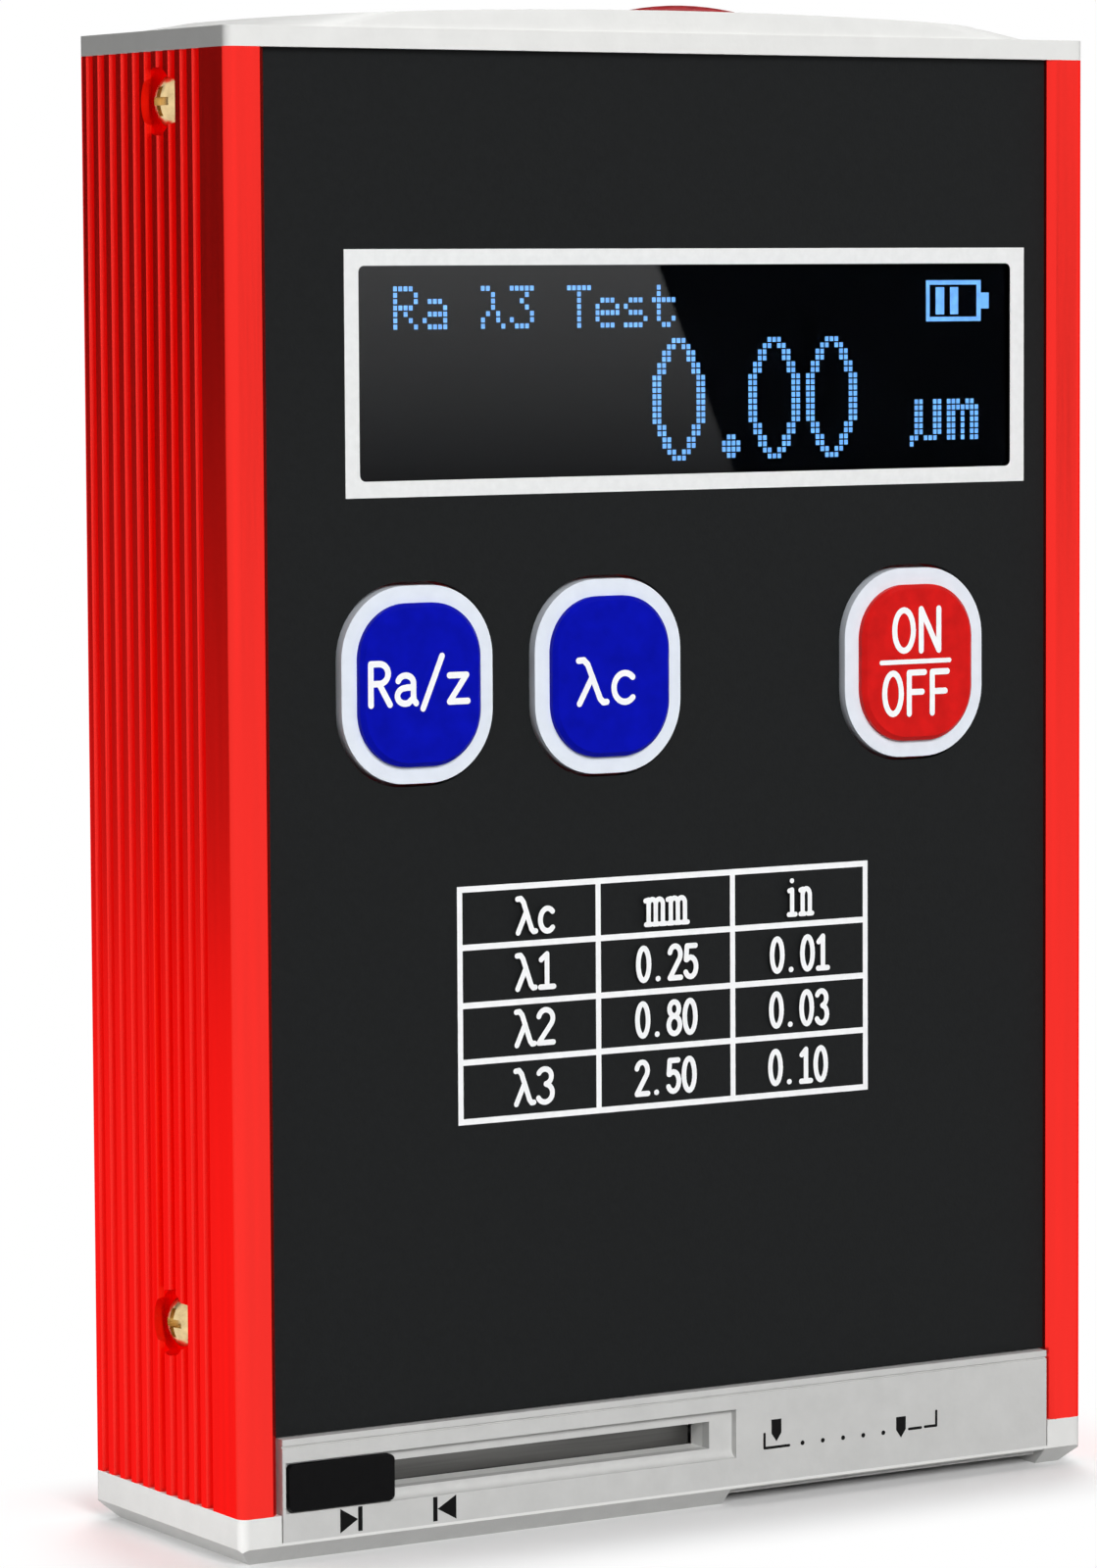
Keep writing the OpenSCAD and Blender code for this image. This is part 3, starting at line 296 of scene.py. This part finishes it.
# Strokes of each letter: height 1, advance 0.5
GLYPHS = {
    "0": [arc(0.25, 0.5, 0.17, 0.46, 0, 360, 24)],
    "1": [[(0.12, 0.8), (0.26, 0.95), (0.26, 0.04)], [(0.1, 0.04), (0.42, 0.04)]],
    "2": [arc(0.25, 0.72, 0.17, 0.24, 165, -35) + [(0.08, 0.05), (0.43, 0.05)]],
    "3": [arc(0.24, 0.74, 0.16, 0.21, 150, -80), arc(0.24, 0.28, 0.18, 0.25, 80, -150)],
    "5": [[(0.4, 0.94), (0.13, 0.94), (0.1, 0.55)], arc(0.24, 0.33, 0.18, 0.28, 130, -150)],
    "8": [arc(0.25, 0.75, 0.15, 0.2, 0, 360, 20), arc(0.25, 0.29, 0.18, 0.25, 0, 360, 20)],
    ".": [[(0.2, 0.06), (0.21, 0.06)]],
    "R": [[(0.08, 0.02), (0.08, 0.97), (0.24, 0.97)] + arc(0.24, 0.74, 0.17, 0.23, 90, -90) + [(0.08, 0.51)],
          [(0.24, 0.5), (0.44, 0.02)]],
    "a": [arc(0.24, 0.5, 0.15, 0.18, 160, 0) + [(0.39, 0.12), (0.44, 0.03)],
          [(0.39, 0.4), (0.27, 0.4)] + arc(0.23, 0.21, 0.15, 0.18, 90, 270) + [(0.29, 0.04), (0.39, 0.16)]],
    "/": [[(0.07, -0.1), (0.44, 1.1)]],
    "z": [[(0.08, 0.64), (0.41, 0.64), (0.08, 0.03), (0.43, 0.03)]],
    "λ": [[(0.05, 0.95), (0.13, 0.96), (0.19, 0.86), (0.38, 0.12), (0.43, 0.04), (0.48, 0.05)],
          [(0.26, 0.6), (0.06, 0.03)]],
    "c": [arc(0.26, 0.34, 0.17, 0.31, 45, 315, 18)],
    "O": [arc(0.25, 0.5, 0.18, 0.47, 0, 360, 24)],
    "N": [[(0.08, 0.02), (0.08, 0.98), (0.42, 0.02), (0.42, 0.98)]],
    "F": [[(0.1, 0.02), (0.1, 0.97), (0.43, 0.97)], [(0.1, 0.52), (0.38, 0.52)]],
    "m": [[(0.03, 0.66), (0.1, 0.68), (0.1, 0.04)], arc(0.18, 0.56, 0.08, 0.13, 180, 0, 8) + [(0.26, 0.04)],
          arc(0.34, 0.56, 0.08, 0.13, 180, 0, 8) + [(0.42, 0.04)], [(0.04, 0.03), (0.15, 0.03)],
          [(0.21, 0.03), (0.31, 0.03)], [(0.37, 0.03), (0.48, 0.03)]],
    "i": [[(0.15, 0.66), (0.25, 0.68), (0.25, 0.04)], [(0.13, 0.03), (0.37, 0.03)],
          [(0.24, 0.92), (0.25, 0.92)]],
    "n": [[(0.05, 0.66), (0.13, 0.68), (0.13, 0.04)],
          arc(0.26, 0.52, 0.13, 0.17, 180, 0, 10) + [(0.39, 0.04)],
          [(0.05, 0.03), (0.2, 0.03)], [(0.32, 0.03), (0.47, 0.03)]],
}


def write(sheet, text, x0, x1, z, height, width):
    """A line of text with its letters spread evenly from x0 to x1, standing on z."""
    advance = (x1 - x0) / len(text)
    for i, letter in enumerate(text):
        for stroke in GLYPHS[letter]:
            sheet.line([(x0 + advance * (i + 2 * x), z + height * y) for x, y in stroke], width)


def front(node):
    """The y of a node's front face, in millimetres."""
    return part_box(node)[0].y / MM


HOUSE = "housing"
LIFT = 3.4  # base plane to the housing's lower end, from which the heights below are counted
overlay_y = front("front_overlay") - PRINT_GAP

# White border round the display, with its inner corners rounded. Its faces meet edge to edge in one plane
RIM = 1.12
RIM_MORE_RIGHT = 0.1
RIM_INNER_R = 0.45
RIM_STEPS = 6  # straight pieces of each rounded corner
low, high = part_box("display_window")
wx0, wz0, wx1, wz1 = low.x / MM, low.z / MM, high.x / MM, high.z / MM
border = Sheet(overlay_y, step=0.0)
rim_right = wx1 + RIM + RIM_MORE_RIGHT
outer = [(wx0 - RIM, wz0 - RIM), (rim_right, wz0 - RIM), (rim_right, wz1 + RIM), (wx0 - RIM, wz1 + RIM)]
hole = []
for corner_x, corner_z, start in (
    (wx0 + RIM_INNER_R, wz0 + RIM_INNER_R, 180), (wx1 - RIM_INNER_R, wz0 + RIM_INNER_R, 270),
    (wx1 - RIM_INNER_R, wz1 - RIM_INNER_R, 0), (wx0 + RIM_INNER_R, wz1 - RIM_INNER_R, 90),
):
    hole.append(arc(corner_x, corner_z, RIM_INNER_R, RIM_INNER_R, start, start + 90, RIM_STEPS))
for i in range(len(outer)):
    following = (i + 1) % len(outer)
    border.add([outer[i]] + hole[i][::-1])
    border.add([outer[i], hole[i][-1], hole[following][0], outer[following]])
border.done("display_border", print_white, HOUSE)

# Lines of the cut-off table
RULE = 0.42
column_x = (-17.3, -6.1, 5.07, 16.4)
row_z = [z + LIFT for z in (25.75, 29.88, 33.82, 37.85, 41.88)]
table = Sheet(overlay_y)
for x in column_x:
    table.bar(x - RULE / 2, row_z[0] - RULE / 2, x + RULE / 2, row_z[-1] + RULE / 2)
for z in row_z:
    table.bar(column_x[0] - RULE / 2, z - RULE / 2, column_x[-1] + RULE / 2, z + RULE / 2)
table.done("table_lines", print_bright, HOUSE)

# Words of the table, its rows from the lowest up. A column or a head has its ends along x, its rise over the
# row's line and its letter height
WORD_STROKE = 0.39
HEAD_STROKE = 0.36
COLUMNS = ((-13.05, -9.65, 0.85, 2.52), (-3.2, 2.0, 0.78, 2.46), (7.98, 13.12, 0.72, 2.5))
ROWS = (("λ3", "2.50", "0.10"), ("λ2", "0.80", "0.03"), ("λ1", "0.25", "0.01"))
HEADS = (
    ("λc", -13.05, -9.65, 0.75, 2.55, WORD_STROKE), ("mm", -2.55, 1.1, 0.7, 2.65, HEAD_STROKE),
    ("in", 9.25, 11.6, 0.7, 2.7, HEAD_STROKE),
)
words = Sheet(overlay_y)
for foot, row in zip(row_z, ROWS):
    for text, (x0, x1, rise, height) in zip(row, COLUMNS):
        write(words, text, x0, x1, foot + rise, height, WORD_STROKE)
for text, x0, x1, rise, height, stroke in HEADS:
    write(words, text, x0, x1, row_z[len(ROWS)] + rise, height, stroke)
words.done("table_words", print_bright, HOUSE)

# Lit dots of the display, on the panel behind the lens
DOT_X, DOT_Z = 0.405, 0.4325
DOT_MARGIN = 0.05
SEEN_X, SEEN_Z = 0.37, -0.06  # from where the photograph shows a dot to its place behind the lens
LETTERS = {
    "R": ("####.", "#...#", "#...#", "####.", "#.#..", "#..#.", "#...#"),
    "a": (".....", ".....", ".###.", "....#", ".####", "#...#", ".####"),
    "λ": ("##...", "..#..", "..#..", "..#..", ".#.#.", "#..#.", "#...#"),
    "3": ("#####", "...#.", "..#..", "...#.", "....#", "#...#", ".###."),
    "T": ("#####", "..#..", "..#..", "..#..", "..#..", "..#..", "..#.."),
    "e": (".....", ".....", ".###.", "#...#", "#####", "#....", ".###."),
    "s": (".....", ".....", ".###.", "#....", ".###.", "....#", "####."),
    "t": (".#...", ".#...", "#####", ".#...", ".#...", ".#..#", "..##."),
    " ": (),
}
ZERO = (
    "....###....", "...##.##...", "..##...##..", "..##...##..", ".##.....##.", ".##.....##.",
    "##.......##", "##.......##", "##.......##", "##.......##", "##.......##", "##.......##", "##.......##",
    "##.......##", ".##.....##.", ".##.....##.", "..##...##..", "..##...##..", "...##.##...", "....###....",
)
POINT = (".##.", "####", "####", ".##.")
UNIT = (
    ".##..##.###.##.", ".##..##.#######", ".##..##.##.#.##", ".##..##.##.#.##", ".##..##.##.#.##",
    ".##..##.##.#.##", "##.###..##.#.##", "#..............",
)
LINE_X, LINE_TOP = -22.27, 83.4
LETTER_ADVANCE = 5.7  # in dots
DIGIT_X, DIGIT_TOP = (-1.48, 6.51, 11.39), 79.68
POINT_X, POINT_TOP = 4.29, 72.87
UNIT_X, UNIT_TOP = 20.31, 75.1
dots = Sheet(front("oled_panel") - DOT_GAP, step=0.0)


def show(rows, x, top):
    """Lights the dots of a sign whose upper left corner the photograph shows at (x, top)."""
    for j, row in enumerate(rows):
        for i, mark in enumerate(row):
            if mark == "#":
                x0 = x + SEEN_X + i * DOT_X
                z1 = top + LIFT + SEEN_Z - j * DOT_Z
                dots.bar(x0 + DOT_MARGIN, z1 - DOT_Z + DOT_MARGIN, x0 + DOT_X - DOT_MARGIN, z1 - DOT_MARGIN)


for i, letter in enumerate("Ra λ3 Test"):
    show(LETTERS[letter], LINE_X + i * LETTER_ADVANCE * DOT_X, LINE_TOP)
for x in DIGIT_X:
    show(ZERO, x, DIGIT_TOP)
show(POINT, POINT_X, POINT_TOP)
show(UNIT, UNIT_X, UNIT_TOP)

# Battery sign of the display: a frame, two bars of charge and the pole at its right end
FRAME_LINE = 0.32
FRAME_IN, FRAME_OUT = 4.42, 4.8  # inner and outer face of its right end
CHARGE_BARS = ((0.84, 1.59), (2.1, 2.81))
CHARGE_INSET = 0.5
POLE_END = 5.5
POLE_INSET = 0.9
sign_x = 21.77 + SEEN_X
sign_foot = 80.62 + LIFT + SEEN_Z
sign_top = 83.56 + LIFT + SEEN_Z
tall = sign_top - sign_foot
sign = [
    (0, 0, FRAME_LINE, tall), (FRAME_IN, 0, FRAME_OUT, tall), (FRAME_LINE, 0, FRAME_IN, FRAME_LINE),
    (FRAME_LINE, tall - FRAME_LINE, FRAME_IN, tall),
]
sign += [(x0, CHARGE_INSET, x1, tall - CHARGE_INSET) for x0, x1 in CHARGE_BARS]
sign.append((FRAME_OUT, POLE_INSET, POLE_END, tall - POLE_INSET))
for x0, z0, x1, z1 in sign:
    dots.bar(sign_x + x0, sign_foot + z0, sign_x + x1, sign_foot + z1)
dots.done("display_dots", dot_blue, HOUSE)

# Letters on the keys. Each text has its ends along x, its foot and its letter height
KEY_STROKE = 0.44
FRACTION_X, FRACTION_Z = (17.1, 23.0), 56.3  # the line between the words of the power key
FRACTION_STROKE = 0.34
for body, pad, texts in (
    ("parameter_button", "parameter_key_pad", (("Ra/z", -25.1, -16.9, 54.9, 2.95),)),
    ("cutoff_button", "cutoff_key_pad", (("λc", -8.5, -3.2, 54.3, 3.25),)),
    ("power_button", "power_key_pad", (("ON", 17.95, 22.45, 57.0, 3.1), ("OFF", 17.1, 23.1, 52.5, 3.1))),
):
    letters = Sheet(front(pad) - PRINT_GAP)
    for text, x0, x1, z, height in texts:
        write(letters, text, x0, x1, z + LIFT, height, KEY_STROKE)
    if body == "power_button":
        letters.line([(x, FRACTION_Z + LIFT) for x in FRACTION_X], FRACTION_STROKE)
    letters.done(pad.replace("pad", "letters"), print_bright, body)

# Marks on the slide panel: the shutter's arrows, each with a bar at its tip
ARROW_HALF = 0.85
OPEN_TAIL, OPEN_TIP, OPEN_BAR = -27.5, -26.1, -25.75
CLOSE_TAIL, CLOSE_TIP, CLOSE_BAR = -18.3, -19.8, -20.15
arrow_z = -0.87 + LIFT
arrow_foot, arrow_top = arrow_z - ARROW_HALF, arrow_z + ARROW_HALF
marks = Sheet(front("slide_panel") - PRINT_GAP)
marks.add([(OPEN_TAIL, arrow_foot), (OPEN_TIP, arrow_z), (OPEN_TAIL, arrow_top)])
marks.bar(OPEN_TIP, arrow_foot, OPEN_BAR, arrow_top)
marks.bar(CLOSE_BAR, arrow_foot, CLOSE_TIP, arrow_top)
marks.add([(CLOSE_TAIL, arrow_foot), (CLOSE_TIP, arrow_z), (CLOSE_TAIL, arrow_top)])

# And the stylus traverse: a line at its start, the stylus at both ends, dots on the way and lines at its end
MARK_STROKE = 0.2
START_LINE = ((7.2, 1.55), (7.2, 0.52), (9.3, 0.52))
END_LINES = (((19.7, 0.62), (20.75, 0.62)), ((21.1, 0.64), (22.1, 0.64), (22.1, 1.7)))
STYLUS_ENDS = ((8.22, 0.92, 2.53), (19.0, 0.06, 1.6))  # x, foot and top
TIP_HALF, TIP_POINT = 0.42, 0.6
WAY_X = (10.45, 12.2, 13.95, 15.7, 17.45)
WAY_Z, WAY_R = 0.58, 0.17
marks.line([(x, z + LIFT) for x, z in START_LINE], MARK_STROKE)
for x, foot, top in STYLUS_ENDS:
    x0, x1 = x - TIP_HALF, x + TIP_HALF
    z0, z1 = foot + LIFT, top + LIFT
    shoulder = z0 + TIP_POINT
    marks.add([(x0, z1), (x1, z1), (x1, shoulder), (x, z0), (x0, shoulder)])
for x in WAY_X:
    marks.disc(x, WAY_Z + LIFT, WAY_R)
for points in END_LINES:
    marks.line([(x, z + LIFT) for x, z in points], MARK_STROKE)
marks.done("slide_marks", print_black, HOUSE)


# Stage: a pale floor that fades to white, studio cards, a softly lit white surround and the lamps

FLOOR_HALF = 4
FLOOR_LIGHT = 0.22  # grey of the floor for the light that it throws back on the part
FLOOR_SEEN = 0.9  # and as it is seen
FLOOR_FADE = 0.014  # way from the part over which the floor fades to white
SURROUND_LIGHT = 0.08


def stage_plane(name, corners, surface):
    mesh = bpy.data.meshes.new(name)
    mesh.from_pydata(corners, [], [tuple(range(len(corners)))])
    obj = bpy.data.objects.new(name, mesh)
    scene.collection.objects.link(obj)
    mesh.materials.append(surface)
    return obj


def seen_by(tree):
    """1 for rays that show the surround itself: from the camera, or through gloss and glass."""
    path = tree.nodes.new("ShaderNodeLightPath")
    first = tree.nodes.new("ShaderNodeMath")
    first.operation = "MAXIMUM"
    tree.links.new(path.outputs["Is Camera Ray"], first.inputs[0])
    tree.links.new(path.outputs["Is Glossy Ray"], first.inputs[1])
    both = tree.nodes.new("ShaderNodeMath")
    both.operation = "MAXIMUM"
    tree.links.new(first.outputs[0], both.inputs[0])
    tree.links.new(path.outputs["Is Transmission Ray"], both.inputs[1])
    return both.outputs[0]


def floor_material():
    """Pale floor that shows a soft shadow close to the part and fades to white away from it."""
    mat = bpy.data.materials.new("floor")
    mat.use_nodes = True
    tree = mat.node_tree
    new, link = tree.nodes.new, tree.links.new
    tree.nodes.clear()
    out = new("ShaderNodeOutputMaterial")
    seen = seen_by(tree)
    shade = new("ShaderNodeMix")
    shade.data_type = "RGBA"
    shade.inputs["A"].default_value = (FLOOR_LIGHT, FLOOR_LIGHT, FLOOR_LIGHT, 1)
    shade.inputs["B"].default_value = (FLOOR_SEEN, FLOOR_SEEN, FLOOR_SEEN, 1)
    link(seen, shade.inputs["Factor"])
    matt = new("ShaderNodeBsdfDiffuse")
    link(shade.outputs["Result"], matt.inputs["Color"])
    white = new("ShaderNodeEmission")
    place = new("ShaderNodeNewGeometry")
    size = new("ShaderNodeVectorMath")
    size.operation = "ABSOLUTE"
    link(place.outputs["Position"], size.inputs[0])
    out_of = new("ShaderNodeVectorMath")
    out_of.operation = "SUBTRACT"
    out_of.inputs[1].default_value = (cad_box[1][0], cad_box[1][1], 0)
    link(size.outputs["Vector"], out_of.inputs[0])
    clip = new("ShaderNodeVectorMath")
    clip.operation = "MAXIMUM"
    link(out_of.outputs["Vector"], clip.inputs[0])
    span = new("ShaderNodeVectorMath")
    span.operation = "LENGTH"
    link(clip.outputs["Vector"], span.inputs[0])
    fade = new("ShaderNodeMapRange")
    fade.interpolation_type = "SMOOTHSTEP"
    fade.inputs["From Max"].default_value = FLOOR_FADE
    link(span.outputs["Value"], fade.inputs["Value"])
    both = new("ShaderNodeMath")
    both.operation = "MULTIPLY"
    link(fade.outputs["Result"], both.inputs[0])
    link(seen, both.inputs[1])
    mix = new("ShaderNodeMixShader")
    link(both.outputs[0], mix.inputs["Fac"])
    link(matt.outputs[0], mix.inputs[1])
    link(white.outputs[0], mix.inputs[2])
    link(mix.outputs[0], out.inputs["Surface"])
    return mat


floor_corners = [
    (-FLOOR_HALF, -FLOOR_HALF, 0), (FLOOR_HALF, -FLOOR_HALF, 0), (FLOOR_HALF, FLOOR_HALF, 0),
    (-FLOOR_HALF, FLOOR_HALF, 0),
]
stage_plane("floor", floor_corners, floor_material())


def card_material(name, top, bottom, z0, z1):
    """A card that glows with strength bottom up to z0 and top from z1, and changes evenly in between."""
    mat = bpy.data.materials.new(name)
    mat.use_nodes = True
    tree = mat.node_tree
    new, link = tree.nodes.new, tree.links.new
    tree.nodes.clear()
    out = new("ShaderNodeOutputMaterial")
    place = new("ShaderNodeNewGeometry")
    split = new("ShaderNodeSeparateXYZ")
    link(place.outputs["Position"], split.inputs["Vector"])
    level = new("ShaderNodeMapRange")
    level.inputs["From Min"].default_value = z0
    level.inputs["From Max"].default_value = z1
    level.inputs["To Min"].default_value = bottom
    level.inputs["To Max"].default_value = top
    link(split.outputs["Z"], level.inputs["Value"])
    shine = new("ShaderNodeEmission")
    link(level.outputs["Result"], shine.inputs["Strength"])
    link(shine.outputs[0], out.inputs["Surface"])
    return mat


def set_card(name, corners, top, bottom, fade_to=None):
    """A studio card that shows only in gloss and glass, and casts no shadow."""
    surface = card_material(name, top, bottom, corners[0][2], fade_to or corners[-1][2])
    card = stage_plane(name, corners, surface)
    card.visible_camera = False
    card.visible_diffuse = False
    card.visible_shadow = False


def upright(start, end, z0, z1):
    """Corners of an upright card over the line from start to end, each (x, y)."""
    return [(*start, z0), (*end, z0), (*end, z1), (*start, z1)]


camera_place = Vector((-227.953, -369.07, 87.03)) * MM
lens_y = front("display_window") * MM
CARD_Y = -0.73


def mirrored(x, z):
    """Where the lens mirrors its point (x, z) to, for the camera, on the plane of the cards."""
    reach = (CARD_Y - lens_y) / (camera_place.y - lens_y)
    return (x + (x - camera_place.x) * reach, CARD_Y, z + (z - camera_place.z) * reach)


# The display mirrors a grey card on its left and a dark one on its right. They meet along a slanting line
GLARE_LEFT, GLARE_RIGHT = -0.034, 0.040
GLARE_FOOT, GLARE_TOP = 0.0720, 0.0895
edge_top, edge_foot = (-0.0015, GLARE_TOP), (0.0061, GLARE_FOOT)
cards = (
    ("card_grey", [(GLARE_LEFT, GLARE_FOOT), edge_foot, edge_top, (GLARE_LEFT, GLARE_TOP)], (0.75, 0.12)),
    ("card_dark", [edge_foot, (GLARE_RIGHT, GLARE_FOOT), (GLARE_RIGHT, GLARE_TOP), edge_top], (0.0, 0.0)),
)
for name, corners, (top, bottom) in cards:
    set_card(name, [mirrored(x, z) for x, z in corners], top, bottom)
# The flat red side mirrors a card that gets darker upwards
left_corners = upright((-0.310, 0.304), (-0.174, 0.387), 0.0, 0.35)
set_card("card_left", left_corners, top=0.06, bottom=0.55, fade_to=0.09)
# A dark card behind the part gives its upper edges the photograph's thin dark outline
set_card("card_back", upright((0.0, 0.5), (0.7, 0.5), 0.09, 0.4), top=0.0, bottom=0.0)


def surround():
    """A white world that shows at full strength and lights the part only a little."""
    world = bpy.data.worlds.new("surround")
    scene.world = world
    world.use_nodes = True
    tree = world.node_tree
    new, link = tree.nodes.new, tree.links.new
    tree.nodes.clear()
    out = new("ShaderNodeOutputWorld")
    dim = new("ShaderNodeBackground")
    dim.inputs["Color"].default_value = (1, 1, 1, 1)
    dim.inputs["Strength"].default_value = SURROUND_LIGHT
    bright = new("ShaderNodeBackground")
    bright.inputs["Color"].default_value = (1, 1, 1, 1)
    mix = new("ShaderNodeMixShader")
    link(seen_by(tree), mix.inputs["Fac"])
    link(dim.outputs[0], mix.inputs[1])
    link(bright.outputs[0], mix.inputs[2])
    link(mix.outputs[0], out.inputs["Surface"])


surround()


def lamp(name, place, target, size, power, gloss=False):
    """A round lamp that the camera doesn't see, and that gloss shows only where asked."""
    data = bpy.data.lights.new(name, "AREA")
    data.shape = "DISK"
    data.size = size
    data.energy = power
    obj = bpy.data.objects.new(name, data)
    obj.location = place
    obj.rotation_euler = (Vector(target) - Vector(place)).to_track_quat("-Z", "Y").to_euler()
    obj.visible_camera = False
    obj.visible_glossy = gloss
    scene.collection.objects.link(obj)


middle = (0, 0, 0.055)
lamp("front", (-0.16, -0.95, 0.45), middle, size=0.5, power=10.4)
lamp("top", (0.25, 0.15, 0.9), middle, size=0.5, power=2.4, gloss=True)
lamp("back", (0.5, 0.8, 0.45), middle, size=0.6, power=7.0)
lamp("low", (-0.08, -0.005, 0.01), (-0.035, -0.002, 0.006), size=0.04, power=0.022)

# Camera at the photograph's place, from a fit to corners of the part
PHOTO_HEIGHT = 1600  # pixels
FOCAL_LENGTH = 6201.4  # pixels
SENSOR = 36
camera = bpy.data.objects.new("camera", bpy.data.cameras.new("camera"))
right = Vector((0.85456, -0.51933, -0.00555))
up = Vector((0.04760, 0.06767, 0.99657))
back = Vector((-0.51717, -0.85189, 0.08255))
pose = Matrix((right, up, back)).transposed().to_4x4()
pose.translation = camera_place
camera.matrix_world = pose
camera.data.sensor_width = SENSOR
camera.data.lens = FOCAL_LENGTH / PHOTO_HEIGHT * SENSOR
camera.data.clip_start = 0.01
scene.collection.objects.link(camera)
scene.camera = camera
